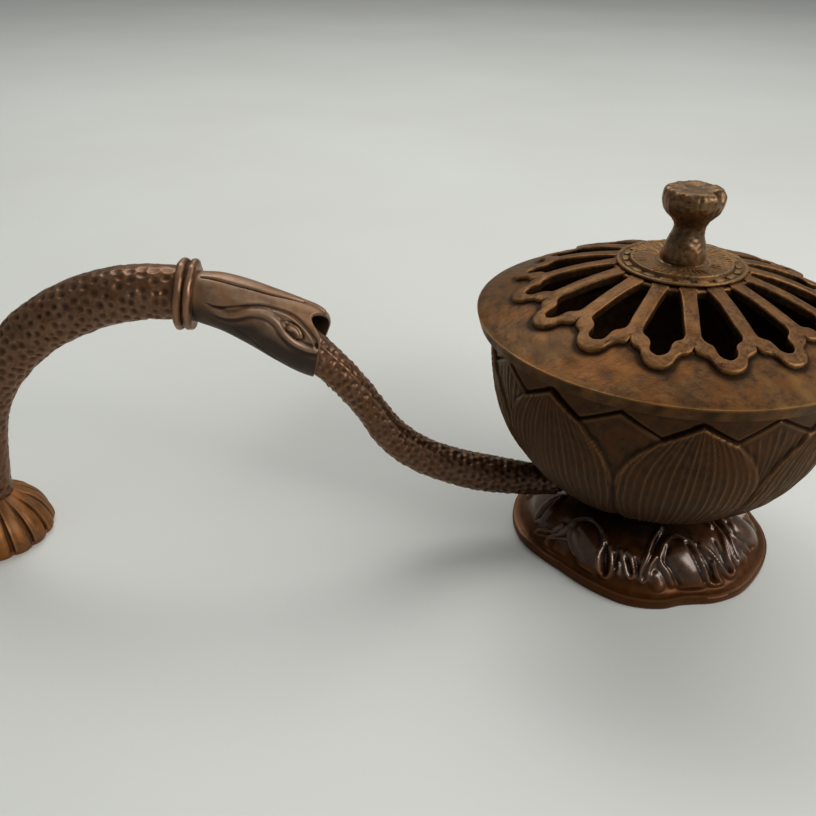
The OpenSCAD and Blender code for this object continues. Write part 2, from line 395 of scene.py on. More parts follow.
bowl_bronze = patina(
    "bowl_bronze", (27, 15, 7), (47, 28, 14), (110, 77, 47), roughness=0.44,
    mottle=60, hollow=0.85, ridge=0.75, glow=(72, 38, 14))
foot_bronze = patina(
    "foot_bronze", (26, 12, 5), (44, 23, 9), (122, 90, 66), roughness=0.34,
    metallic=0.45, mottle=45, hollow=0.75, ridge=0.45, grain=0.04, coat=0.75, gloss=0.18,
    glow=(72, 36, 3), warm_to=0.0068)
stem_bronze = patina(
    "stem_bronze", (48, 27, 16), (90, 61, 42), (166, 128, 100), roughness=0.38,
    mottle=80, hollow=0.9, coat=0.2, glow=(94, 58, 26))
sheath_bronze = patina(
    "sheath_bronze", (62, 43, 32), (124, 98, 77), (160, 132, 110), metallic=0.55,
    mottle=60, spread=0.6, hollow=0.9, ridge=0.35, grain=0.06, coat=0.25, glow=(118, 80, 44))
rear_bronze = patina(
    "rear_foot_bronze", (76, 43, 20), (106, 67, 36), (160, 120, 84),
    roughness=0.45, metallic=0.6, mottle=60, hollow=0.5, ridge=0.5, glow=(138, 80, 24))
lid_bronze = patina(
    "lid_bronze", (47, 28, 13), (61, 37, 17), (136, 98, 54), metallic=0.68,
    spread=0.62, hollow=0.85, ridge=0.7, specks=0.9, grain=0.5, glow=(108, 63, 20))
rib_bronze = patina(
    "rib_bronze", (37, 21, 10), (69, 42, 22), (154, 110, 66), metallic=0.68,
    mottle=110, spread=0.9, hollow=0.9, specks=1, grain=0.5, glow=(104, 64, 28))
disc_bronze = patina(
    "disc_bronze", (53, 32, 17), (88, 61, 38), (168, 132, 88), roughness=0.4,
    metallic=0.62, mottle=130, spread=0.9, hollow=0.9, specks=1, grain=0.45,
    glow=(128, 84, 38))
knob_bronze = patina(
    "knob_bronze", (44, 26, 14), (84, 58, 35), (158, 124, 84), roughness=0.34,
    mottle=130, spread=0.9, hollow=0.85, ridge=0.45, specks=0.6, grain=0.25, coat=0.2,
    glow=(108, 70, 26))
# Painted shade: a darker bronze for the neck and the handle's tang, which sit in the shade under the bowl.
dark_bronze = patina(
    "dark_bronze", (18, 10, 7), (30, 17, 12), (54, 35, 24), roughness=0.6,
    hollow=0, ridge=0)
inner_bronze = patina(
    "inner_bronze", (32, 18, 11), (54, 34, 21), (80, 56, 38), roughness=0.6,
    spread=0.8, hollow=0, ridge=0)
fastener_brass = patina(
    "fastener_brass", (92, 66, 34), (134, 102, 58), (178, 146, 96),
    roughness=0.34, metallic=0.7, hollow=0, ridge=0)


# ---- bowl

BOWL_PROFILE = [(14, 22.5), (20, 22.9), (25, 24.2), (30, 26.3), (35, 29.2), (39, 32.4), (42.5, 36),
                (45.7, 40.2), (48.6, 45), (50.7, 50), (52.2, 55), (53.2, 60), (54, 66), (54.2, 71),
                (54, 78.3)]
BOWL_INSIDE = [(51.2, 78.3), (51.6, 71), (51.3, 66), (50.4, 60), (49.4, 55), (47.9, 50), (45.8, 45),
               (43, 40.6), (39.8, 36.8), (36.4, 33.6), (32.6, 30.9), (28, 28.4), (23, 26.4),
               (18, 25.1)]
FRONT_PETAL = -96                       # direction of one of the eight front petals
FRONT_PITCH = 45                        # from one front petal to the next
# Half the angle that a front petal takes up, and the fan of its lines, by height
PETAL_EDGE = [(22.5, 22.5), (50, 22.5), (55, 21.5), (60, 19), (64, 16), (68, 11.8), (74.3, 0), (79, -12)]
PETAL_FAN = [(22.5, 17), (32, 20.5), (45, 22.5), (55, 21.5), (60, 19.6), (65, 16), (69, 12.4), (74.3, 6)]


def lines(position, count, strength, width=0.16):
    """Thin raised lines, count of them between -1 and 1, some stronger than others."""
    place = position * count / 2 + 0.5 * (count % 2 == 0)
    share = 0.78 + 0.22 * np.sin(np.round(place) * 2.4 + 0.7)
    return strength * share * bell(wrapped(place + 0.1 * np.sin(np.round(place) * 1.7), 1), width)


def bowl_relief(angle, height, radius):
    """Height of the petals' carving over the plain bowl, in mm."""
    half = FRONT_PITCH / 2
    front = wrapped(angle - FRONT_PETAL, FRONT_PITCH)
    behind = wrapped(angle - FRONT_PETAL - half, FRONT_PITCH)
    mm_per_degree = radius * math.pi / 180
    edge = value_at(height, PETAL_EDGE)
    slope = (value_at(height + 0.5, PETAL_EDGE) - edge) / 0.5 * mm_per_degree
    inside = (edge - np.abs(front)) * mm_per_degree / np.sqrt(1 + slope ** 2)
    groove = np.abs(np.abs(front) - half) * mm_per_degree
    under_top = (74.8 - 0.5 * np.abs(behind) - height) * 0.85
    fan = value_at(height, PETAL_FAN)
    across = front / fan
    petal = 0.35 * (1 - np.clip(np.abs(front) / half, 0, 1) ** 2)
    gap = fan / 9 * mm_per_degree
    veins = lines(across, 18, 0.34, np.clip(0.32 / gap, 0.16, 0.34))
    petal = petal + np.where(np.abs(across) < 0.95, veins, 0) * step(gap, 0.5, 1.1)
    petal = petal + 0.14 * bell(inside - 0.5, 0.45) * step(height, 47, 52)
    petal = petal - 0.5 * bell(groove, 0.7) * (1 - step(height, 49, 53))
    rays = lines(behind / (np.maximum(height - 44, 1) * 0.5), 9, 0.26) * step(under_top, 0.8, 2.2)
    worn = bell(wrapped(angle + 118.5, 360), 11)
    back = -0.42 + rays + 0.15 * bell(under_top - 0.5, 0.5) - rays * worn * 0.85
    in_front = step(inside, -0.45, 0.45)
    in_back = step(under_top, -0.4, 0.4)
    outline = np.maximum(inside, under_top)
    band = -0.45 - 0.65 * bell(outline + 0.45, 0.42) + 0.2 * step(height, 74, 78)
    relief = in_front * petal + (1 - in_front) * (in_back * back + (1 - in_back) * band)
    return relief * step(height, 23, 26.5)


def denser(curve, count, extra):
    """The curve's points picked so that they are closer where extra is large."""
    passed = np.concatenate([[0], np.cumsum(1 + (extra[1:] + extra[:-1]) / 2)])
    place = np.interp(np.linspace(0, passed[-1], count), passed, range(len(curve)))
    return np.stack([np.interp(place, range(len(curve)), curve[:, k]) for k in range(2)], -1)


def stitched(fine, coarse):
    """Triangles between a loop and one with half as many points, given as vertex numbers."""
    a, b, c = fine[0::2], fine[1::2], np.roll(fine, -2)[0::2]
    d, e = coarse, np.roll(coarse, -1)
    return np.vstack([np.stack(t, -1) for t in ((a, b, d), (b, e, d), (b, c, e))])


def make_bowl():
    columns, rows = 840, 100
    side = smooth(BOWL_PROFILE, 2000)
    side = denser(side, rows, 3.0 * step(side[:, 1], 64, 67) * (1 - step(side[:, 1], 75.5, 77)))
    outer = joined(straight([(BOLT_HOLE, 22.5), BOWL_PROFILE[0]], 4), side,
                   straight([BOWL_PROFILE[-1], (53.7, 78.8)], 3))
    inner = outline((51.6, 78.8), (straight, 3, BOWL_INSIDE[:1]), (smooth, 14, BOWL_INSIDE[1:]),
                    (straight, 4, [(BOLT_HOLE, 25.1)]))
    grid = lathe(outer, columns)
    angle = turns(columns)[None, :] * np.ones((len(outer), 1))
    outside = rows_of(grid, 4, rows)
    outside[rows:rows + 3, 0] = (0.7, 0.3, 0)
    relief = bowl_relief(angle, grid[..., 2], from_axis(grid)) * outside
    # Painted shade: the bowl is made darker towards its bottom, which faces down over the foot.
    tone = hollows(relief, 8, False, 1.3) - 0.16 * (1 - step(grid[..., 2], 30, 52))
    grid = raised(grid, relief + 0.12 * ripple(grid, 30, 3) * outside, False)
    lining = lathe(inner, columns // 2)
    lining_tone = np.full(lining[..., 0].size, 0.5)
    first = np.arange(columns)
    last = first + (len(outer) - 1) * columns
    lining_start = len(outer) * columns
    half = np.arange(columns // 2) + lining_start
    half_end = half + (len(inner) - 1) * (columns // 2)
    quads = np.vstack([grid_faces(len(outer), columns, False),
                       grid_faces(len(inner), columns // 2, False) + lining_start])
    triangles = np.vstack([stitched(last, half), stitched(first, half_end)[:, ::-1]])
    make("bowl_shell", np.vstack([grid.reshape(-1, 3), lining.reshape(-1, 3)]), quads, triangles,
         (bowl_bronze, "censer", "bowl_bronze", "bowl"), np.append(tone, lining_tone))


# ---- foot

FOOT_TOP = [(43.35, 2.6), (43.15, 2.95), (42.5, 3.1), (41, 3.4), (39.5, 4.2), (37.8, 5.9), (35.5, 9),
            (32, 12), (27.5, 14.2), (22, 15.6), (17, 16.3), (13, FOOT_TOP_Z)]
FOOT_R = 43.3
FOOT_UNDER = [(14, 13.5), (20, 12.8), (26.5, 11), (31, 8.6), (34, 5), (37.3, 1.8), (39.3, 0)]
# The foot's carving, as [radius, degrees]. One leaf lobe with its folds, from the lobe's middle
LEAF_RIDGES = [
    [(21, -9), (26, -17), (31.5, -21), (35.5, -24), (37.5, -23), (37, -21)],
    [(31.5, -16), (33.5, -19), (36.5, -21)],
    [(38, -8), (35, -11), (32.5, -14), (28.5, -12), (25.5, -6), (25, 0), (26.5, 5), (29, 9),
     (33, 9), (36, 10), (38.5, 11), (39.5, 14), (39.5, 17), (37, 16), (35, 16)],
    [(29.5, 15), (33, 18), (36, 20), (38.5, 23), (38, 27), (35, 27), (31.5, 31), (28.5, 36)],
    [(21, 38), (23.5, 35), (26, 33)],
]
LEAF_GROOVES = [
    [(24, -11), (27, -15), (30, -18)],
    [(29, -8.5), (32.5, -11), (35, -8), (38, -4.5)],
    [(28, 5.5), (32, 5.5), (35.5, 7), (38, 8.5)],
    [(29.5, 12), (33, 13), (36, 13.5), (38, 14)],
    [(30, 25), (33, 24), (36, 23.7), (37.5, 25)],
]
LEAF_LOBES = {6.0: [(31, -2), (34, 0), (37, 2)], 2.4: [(36.5, -17), (38, -15)]}   # by half width
# The lobe and folds left of the front one, and the leaf tip on the far left
LEFT_RIDGES = [
    [(37.5, -140), (36, -145), (33.5, -149), (31.5, -151), (28, -149), (25.5, -141), (27.5, -130),
     (31, -126), (35, -125.5), (37.5, -123.5), (39, -121), (39, -119), (37, -117.5), (34, -119),
     (31.5, -122)],
    [(31.5, -115), (34, -112), (36.5, -109.5), (37.2, -107.5), (36, -106), (32.5, -109), (31.5, -112)],
    [(34.5, -115), (37, -113.5)],
    [(27.5, -178), (30.5, -178), (34, -176), (37, -172), (36, -169.5), (32.5, -171), (28, -177)],
    [(33, -155), (36, -158), (37.5, -165), (39, -166), (38.5, -163), (36, -155), (32.5, -152)],
    [(40.5, -156), (38, -158), (36.5, -153), (35.5, -148)],
]
LEFT_GROOVES = [
    [(31.5, -124), (35, -122), (37.5, -120.5)],
    [(33, -117), (36, -115.3)],
    [(33.5, -110.7), (35.8, -108)],
    [(29, -177), (32.5, -174.5), (35.5, -171.5)],
    [(35, -155.5), (37, -160)],
    [(33, -106), (36, -105)],
]
LEFT_LOBES = {5.6: [(31.5, -140), (35, -134), (37.5, -130)], 2.6: [(38.4, -150), (38.4, -147)]}
# Each set of strokes with the angle that it is turned by
CARVING = [(LEFT_RIDGES, LEFT_GROOVES, LEFT_LOBES, 0)]
CARVING += [(LEAF_RIDGES, LEAF_GROOVES, LEAF_LOBES, turn) for turn in (-79, -25, 29, 83, 137)]
# How far the wavy rim reaches, as (degrees, radius)
FOOT_RIM = [
    (-183, 43.6), (-172, 42.9), (-164, 41.8), (-155, 40.1), (-143, 38.7), (-132, 39.3), (-120, 40.4),
    (-109, 41.9), (-100, 42.1), (-91, 41.7), (-84, 40.3), (-77, 40.7), (-69, 42.2), (-56, 43.3),
    (-40, 42.9), (-15, 43.5), (5, 42.6), (28, 43.3), (48, 41.9), (72, 43.2), (95, 42.2),
    (118, 43.3), (140, 42), (160, 43.2)]


def on_foot(strokes, turn):
    """Strokes [radius, degrees] turned and laid on the foot's upper surface."""
    laid = []
    for stroke in strokes:
        radius, angle = spline([(r, a + turn) for r, a in stroke], 6).T
        laid.append(np.column_stack([polar(radius, angle), value_at(radius, FOOT_TOP[::-1])]))
    return laid


def foot_relief(surface):
    """Height of the leaf's folds and lobes over the plain dome, in mm."""
    lift, sink, swell = (np.zeros(surface.shape[:2]) for _ in range(3))
    for ridges, grooves, lobes, turn in CARVING:
        for line in on_foot(ridges, turn):
            lift = np.maximum(lift, bell(distance_to(surface, line), 0.82))
        for line in on_foot(grooves, turn):
            sink = np.maximum(sink, bell(distance_to(surface, line), 0.65))
        for line, size in zip(on_foot(lobes.values(), turn), lobes):
            crown = np.clip(1 - (distance_to(surface, line) / size) ** 2, 0, 1) ** 0.8
            swell = np.maximum(swell, crown * min(2.0, 0.34 * size))
    return blurred(swell + 1.15 * lift - 0.75 * sink, 1, False)


def make_foot():
    columns = 720
    profile = outline(
        (42.9, 0), (smooth, 6, [(FOOT_R, 0.8), FOOT_TOP[0]]), (smooth, 98, FOOT_TOP[1:]),
        (straight, 5, [(BOLT_HOLE, FOOT_TOP_Z)]), (straight, 6, [(BOLT_HOLE, 13.5), FOOT_UNDER[0]]),
        (smooth, 13, FOOT_UNDER[1:]), (straight, 4, [(42.9, 0)]))[:-1]
    upper = slice(6, 96)                 # the rows of the dome's upper side
    first = FOOT_RIM[0][0]
    rim = FOOT_RIM + [(first + 360, FOOT_RIM[0][1])]
    angle = wrapped(turns(columns) - first - 180, 360) + 180 + first
    reach = blurred(value_at(angle, rim) * np.ones((2, 1)), 30, True)[0] / FOOT_R - 1
    outwards = step(profile[:, 0], 24, 43)[:, None]
    grid = lathe(profile, columns, 1 + outwards * reach[None, :])
    distance = from_axis(grid)
    round_top = lathe(profile, columns)[upper]
    relief = np.zeros(distance.shape)
    relief[upper] = (foot_relief(round_top) * step(round_top[..., 2], 3.4, 4.6)
                     * step(distance[upper], 17, 23))
    shown = rows_of(grid, upper.start, upper.stop)
    # Painted highlight: a pale line along the top edge of the foot's lip.
    lip_highlight = bell(distance - 42.6 * (1 + reach)[None, :], 0.45) * shown
    tone = hollows(relief, 12, True, 0.9) + 0.4 * lip_highlight
    # Painted shade: the foot's top near the neck is made darker, where the bowl overhangs it.
    tone -= 0.32 * (1 - step(distance, 18, 31)) * (grid[..., 2] > 4)
    make_ring("foot_shell", raised(grid, relief + 0.12 * ripple(grid, 16, 5) * shown, True),
              (foot_bronze, "censer", "foot_bronze", "foot_leaf"), np.clip(tone, 0, 1))


# ---- rear foot

REAR_TOP = [(19.6, 1.4), (19.5, 2.8), (18.9, 5), (17.2, 8.4), (14.5, 11.6), (11.2, 14.2), (8.4, 15.9),
            (7.2, 16.5)]
REAR_UNDER = [(7, 14.6), (9.4, 12.8), (12.2, 10.2), (14.6, 7.2), (16.4, 3.8), (17.2, 0)]
FLUTES = 16


def make_rear_foot():
    columns = 576
    profile = outline((19.1, 0), (straight, 4, REAR_TOP[:1]), (smooth, 60, REAR_TOP[1:]),
                      (straight, 8, [(BOLT_HOLE, 16.6), (BOLT_HOLE, 15), REAR_UNDER[0]]),
                      (smooth, 16, REAR_UNDER[1:]), (straight, 4, [(19.1, 0)]))[:-1]
    flute = wrapped(turns(columns)[None, :] - 4, 360 / FLUTES) / (180 / FLUTES)
    outwards = step(profile[:, 0], 9, 20)[:, None]
    grid = lathe(profile, columns, 1 + outwards * (-0.03 - 0.05 * np.abs(flute) ** 2.2))
    shown = rows_of(grid, 3, 60)
    shown[60:64, 0] = np.linspace(1, 0, 4)
    valley = np.abs(flute) - 0.04 * ripple(grid, 9, 9)
    relief = 0.1 - 0.55 * valley ** 3 - 0.5 * bell(valley - 1, 0.12) + 0.35 * bell(flute + 0.74, 0.13)
    relief *= step(grid[..., 2], 17, 11) * shown
    relief += 0.08 * ripple(grid, 9, 8) * shown
    grid = raised(grid, relief, True)
    grid[..., 0] += REAR_X
    grid[..., 2] = np.maximum(grid[..., 2], 0)
    make_ring("rear_foot_cap", grid, (rear_bronze, "censer", "rear_foot_bronze", "rear_foot"),
              hollows(relief, 16, True, 1.1))


# ---- handle

STEM_RISE = [(30, 20.6), (62.6, 22.6), (82.8, 29.9), (91.2, 46.2)]
STEM_REACH = [(91.2, 46.2), (108, 72.4), (123.5, 82.2), (147, 88.9)]
ARCH_OVER = [(149.2, 89.3), (167, 92), (187.5, 85.5), (201.4, 72.5)]
ARCH_DOWN = [(201.4, 72.5), (218.5, 56.4), (219.8, 46.8), (223.5, 16.2)]
SHEATH_TOP = [(144.2, 96), (132, 95.2), (120, 89.3), (106.2, 83.6)]
SHEATH_BOTTOM = [(145.2, 80.8), (132, 77.2), (121, 64.5), (111.2, 61.6)]
SHEATH_WALL = 1.5


def swept(parts, count, columns):
    """Grid round a centre line in the plane y = 0; parts are (bezier, radius of t).

    Gives the grid, the distance along the line, the angle (0 on top) and the radius. The radius
    travels along with the line's points, scaled down so that it doesn't add to their spacing.
    """
    t = np.linspace(0, 1, 120)
    line = joined(*[bezier(curve, t) for curve, _ in parts])
    radius = joined(*[of(t)[:, None] for _, of in parts])
    track = even(np.column_stack([line, radius * 0.001]), count)
    centre, radius = track[:, :2], track[:, 2:3] * 1000
    radius = blurred(radius * np.ones((1, 3)), 12, False)[:, 0]
    slope = np.gradient(centre, axis=0)
    slope /= np.linalg.norm(slope, axis=1, keepdims=True)
    angle = np.radians(turns(columns))[None, :]
    up = np.stack([-slope[:, 1], slope[:, 0]], -1) * radius[:, None]
    towards = centre[:, :1] + up[:, :1] * np.cos(angle)
    grid = np.stack([-towards, radius[:, None] * np.sin(angle),
                     centre[:, 1:] + up[:, 1:] * np.cos(angle)], -1)
    along = np.concatenate([[0], np.cumsum(np.linalg.norm(np.diff(centre, axis=0), axis=1))])
    return grid, along, np.degrees(angle)[0], radius


def spotted(along, angle, radius, spacing, size, stagger, scatter, seed):
    """Soft round spots in rows round a stem, 0 to 1, with their places a little uneven.

    stagger is the shift of every other row, as a share of a spot; scatter is in mm.
    """
    random = np.random.RandomState(seed)
    field = np.zeros((len(along), len(angle)))
    rows = int(along[-1] / spacing)
    for row in range(rows + 1):
        middle = np.interp(row * spacing, along, radius)
        count = int(round(2 * math.pi * middle / (spacing * 1.02)))
        for k in range(count):
            place = row * spacing + random.normal(0, scatter)
            turn = (k + stagger * (row % 2)) * 360 / count + math.degrees(random.normal(0, scatter) / middle)
            width = size * random.uniform(0.8, 1.15)
            near = np.abs(along - place) < 3 * width
            across = np.radians(wrapped(angle - turn, 360))[None, :] * radius[near][:, None]
            square = ((along[near] - place)[:, None] ** 2 + across ** 2) / width ** 2
            field[near] = np.maximum(field[near], random.uniform(0.65, 1) * np.exp(-square))
    return field


def make_stem(name, grid, tone, node):
    """A stem, with its ends drawn in to a small ring."""
    ends = []
    for ring in (grid[0], grid[-1]):
        middle = ring.mean(0)
        ends.append([middle + (ring - middle) * share for share in (0.05, 0.5)])
    plain = np.full((2, grid.shape[1]), 0.5)
    make_rod(name, np.concatenate([ends[0], grid, ends[1][::-1]]),
             (stem_bronze, "censer", "stem_bronze", node), np.vstack([plain, tone, plain]))


def make_stem_upper():
    grid, along, angle, radius = swept(
        [(ARCH_OVER, lambda t: 7.9 + 0.6 * np.sin(math.pi * t)),
         (ARCH_DOWN, lambda t: 7.9 - 1.4 * np.minimum(1, 1.4 * t))], 400, 160)
    pits = spotted(along, angle, radius, 3.2, 1.08, 0.4, 0.42, 11)
    share = (along / along[-1])[:, None]
    plain_top = 1 - 0.75 * bell(wrapped(angle, 360), 26)[None, :] * (1 - step(share, 0.15, 0.5))
    strength = (1 - 0.55 * step(share, 0.6, 0.95)) * plain_top
    relief = (-0.55 * pits ** 1.3 + 0.2 * bell(pits - 0.12, 0.14)) * strength
    relief += 0.12 * ripple(grid, 5, 12) * strength + 0.1 * ripple(grid, 18, 13)
    tone = hollows(relief, 14, False, 0.9)
    make_stem("stem_upper_cast", raised(grid, relief, False), tone, "stem_upper")


def make_stem_lower():
    grid, along, angle, radius = swept(
        [(STEM_RISE, lambda t: np.minimum(5 + 5 * t, 6.3 - 1.1 * t ** 3)),
         (STEM_REACH, lambda t: np.minimum(5.2 + 4 * t * t, 6))], 430, 132)
    pits = spotted(along, angle, radius, 2.5, 0.8, 0.5, 0.35, 21)
    bumps = spotted(along + 1.2, angle + 9, radius, 2.5, 0.7, 0.5, 0.45, 22)
    spine = bell(np.radians(wrapped(angle - 318, 360))[None, :] * radius[:, None], 0.45)
    spine = spine * (step(along, 38, 50) * (1 - step(along, 118, 135)))[:, None]
    relief = -0.34 * pits + 0.26 * bumps + 0.35 * spine + 0.1 * ripple(grid, 3, 23)
    relief += 0.1 * ripple(grid, 16, 24)
    # Painted shade: the stem is made darker towards its end under the bowl.
    tone = hollows(relief, 12, False, 1.15) - 0.22 * step(grid[..., 0], -85, -40)
    make_stem("stem_lower_cast", raised(grid, relief, False), tone, "stem_lower")


# The sheath's carving, as [share of its length from the collar, degrees round from the top]
SEAM = [(0.05, 341), (0.2, 339), (0.4, 339), (0.6, 344), (0.74, 352), (0.84, 359)]
UPPER_FLOW = [(0.05, 288), (0.12, 281), (0.2, 280), (0.3, 290), (0.5, 311), (0.62, 317), (0.76, 318),
              (0.87, 306), (0.96, 291), (0.985, 279)]
LOWER_FLOW = [(0.1, 276), (0.22, 270), (0.32, 276), (0.45, 293), (0.57, 299), (0.66, 294), (0.72, 282),
              (0.8, 274), (0.9, 272), (0.99, 274)]
BROW = [(0.52, 303), (0.62, 309), (0.74, 311), (0.84, 303), (0.92, 291), (0.96, 281)]
EYE = [(0.69, 300), (0.745, 304), (0.81, 302), (0.86, 293), (0.87, 284), (0.82, 281), (0.76, 285),
       (0.71, 292), (0.69, 300)]
PUPIL = [(0.76, 294), (0.8, 293), (0.83, 288)]
VEIN = [(0.6, 312), (0.66, 314), (0.75, 314.6), (0.86, 304.5), (0.94, 292), (0.972, 281)]
IRIS = [(0.73, 296), (0.77, 299), (0.82, 297), (0.845, 290), (0.83, 285), (0.78, 289)]
LOWER_SEAM = [(0.3, 252), (0.45, 238), (0.6, 224), (0.8, 212)]


def sheath_surface(share, angle, inner):
    """Points of the sheath's outer or inner surface; share and angle have the same shape."""
    top, bottom = bezier(SHEATH_TOP, share), bezier(SHEATH_BOTTOM, share)
    width = 7.8 + 0.7 * np.sin(math.pi * share)
    if inner:
        rise = top - bottom
        rise /= np.linalg.norm(rise, axis=-1, keepdims=True)
        floor = SHEATH_WALL + 1.8 * np.minimum(1, 3 * share)
        top, bottom = top - rise * SHEATH_WALL, bottom + rise * floor[..., None]
        width = width - SHEATH_WALL
    middle, up = (top + bottom) / 2, (top - bottom) / 2
    turn = np.radians(angle)
    square = np.abs(np.cos(turn)) ** 0.94 * np.sign(np.cos(turn))
    return np.stack([-(middle[..., 0] + up[..., 0] * square), width * np.sin(turn),
                     middle[..., 1] + up[..., 1] * square], -1)


def on_sheath(stroke, mirrored=False):
    """A stroke of the carving laid on the sheath's outer surface."""
    share, angle = spline(stroke, 8).T
    return sheath_surface(share, 360 - angle if mirrored else angle, False)


def nearest(surface, strokes):
    """Distance of every surface point from the nearest of the strokes, on both flanks."""
    return np.min([distance_to(surface, on_sheath(stroke, mirrored))
                   for stroke in strokes for mirrored in (False, True)], axis=0)


def make_sheath():
    rows, columns, inner_rows = 220, 240, 24
    angle = turns(columns)[None, :] * np.ones((rows, 1))
    cut = 1 - 0.1 * bell(wrapped(angle[:1] - 326, 360), 24) + 0.04 * bell(wrapped(angle[:1] - 70, 360), 45)
    share = np.linspace(0, 1, rows)[:, None] * cut
    outer = sheath_surface(share, angle, False)
    droop = 1.7 * np.clip((share - 0.9) / 0.12, 0, 1.2) ** 2 * bell(wrapped(angle - 20, 360), 40)
    outer[..., 2] -= droop
    grooves = nearest(outer, [UPPER_FLOW])
    fine = nearest(outer, [EYE, VEIN, IRIS, LOWER_SEAM])
    ridges = nearest(outer, [LOWER_FLOW, PUPIL])
    seam = distance_to(outer, on_sheath(SEAM))
    seam_line = value_at(share[:, 0], SEAM)
    above = step(wrapped(angle - seam_line[:, None], 360), -1.5, 1.5)
    above = above * (1 - step(angle, 60, 120) * (1 - step(angle, 300, 320)))
    relief = 0.5 * above * step(share, 0.02, 0.2) - 0.45 * bell(seam, 0.3)
    relief += (-0.65 * bell(grooves, 0.42) * step(share, 0.06, 0.16)) - 0.35 * bell(fine, 0.28)
    relief += step(share, 0.1, 0.26) * (0.75 * bell(ridges, 0.85) - 0.35 * bell(ridges - 1.6, 0.6))
    relief += 0.3 * bell(nearest(outer, [BROW]), 0.6)
    from_top = np.abs(wrapped(angle, 360))
    side = bell(wrapped(from_top - 112, 360), 20) * bell(share - 0.5, 0.27)
    relief += -0.5 * side + 0.07 * ripple(outer, 10, 31)
    relief *= (1 - step(share, 0.985, 1.0) * 0.6) * step(share, 0, 0.04)
    shade = (0.42 + 0.1 * ripple(outer, 6, 32)) * step(from_top, 64, 112)
    tone = hollows(relief, 12, False, 1.15) - shade
    outer = raised(outer, -relief, False)
    inwards = np.linspace(1, 0, inner_rows)[:, None]
    inner = sheath_surface(inwards * cut, angle[:inner_rows], True)
    inner[..., 2] -= droop[-1] * inwards ** 3
    push = outer[-1] - outer[-4]
    push /= np.linalg.norm(push, axis=1, keepdims=True)
    rim = [outer[-1] * (1 - k) + inner[0] * k + push * bulge
           for k, bulge in ((0.25, 0.35), (0.5, 0.5), (0.75, 0.35))]
    # The mouth's rim is pale; the inside gets the darkest tone, as painted shade.
    tone = np.vstack([tone, np.full((len(rim), columns), 0.8), np.full((inner_rows, columns), 0.15)])
    make_ring("leaf_sheath_cast", np.concatenate([outer, rim, inner]),
              (sheath_bronze, "censer", "sheath_bronze", "leaf_sheath"), tone, 50)


def make_collar():
    columns = 240

    def bead(out, along, width, height, start, end):
        arc = polar(1, np.linspace(start, end, 18))
        return arc * (width, height) + (out, along)

    outer = np.vstack([bead(9.15, -1.55, 1.75, 1.45, -90, 58), bead(8.9, 1.35, 2.0, 1.6, -58, 90)])
    bore = [(8.6, 2.9), (6.4, 2.8), (6.4, -2.9), (8.6, -2.95)]
    profile = np.vstack([outer, straight([outer[-1]] + bore + [outer[0]], 26)[1:-1]])
    grid = lathe(profile, columns)
    distance = from_axis(grid)
    height = 0.2 * ripple(grid, 5, 41) * (distance > 8.7)
    tone = 0.5 + 0.3 * step(distance, 10.2, 10.9) - 0.3 * bell(grid[..., 2] - 0.05, 0.6)
    tilt = math.radians(7.7)
    axes = [[math.sin(tilt), 0, math.cos(tilt)], [0, 1, 0], [-math.cos(tilt), 0, math.sin(tilt)]]
    make_ring("collar_beads", raised(grid, height, True) @ axes + (-147.6, 0, 89),
              (stem_bronze, "censer", "stem_bronze", "collar"), tone)


# ---- lid

BRIM_R, RING_R = 59.85, 50.4            # the brim's edge and the locating ring's outside
BRIM_TOP = [(BRIM_R, 82.8), (57.5, 83.9), (55, 84.9), (49.8, 87), (46, 88.6), (41.5, 90.3), (40, 90.8)]


def spin(degrees):
    """Matrix that turns rows of points round the axis."""
    cos, sin = math.cos(math.radians(degrees)), math.sin(math.radians(degrees))
    return np.array([[cos, sin, 0], [-sin, cos, 0], [0, 0, 1]])


def lid_turned(points):
    """Points turned with the loose lid."""
    return points @ spin(LID_TURN)


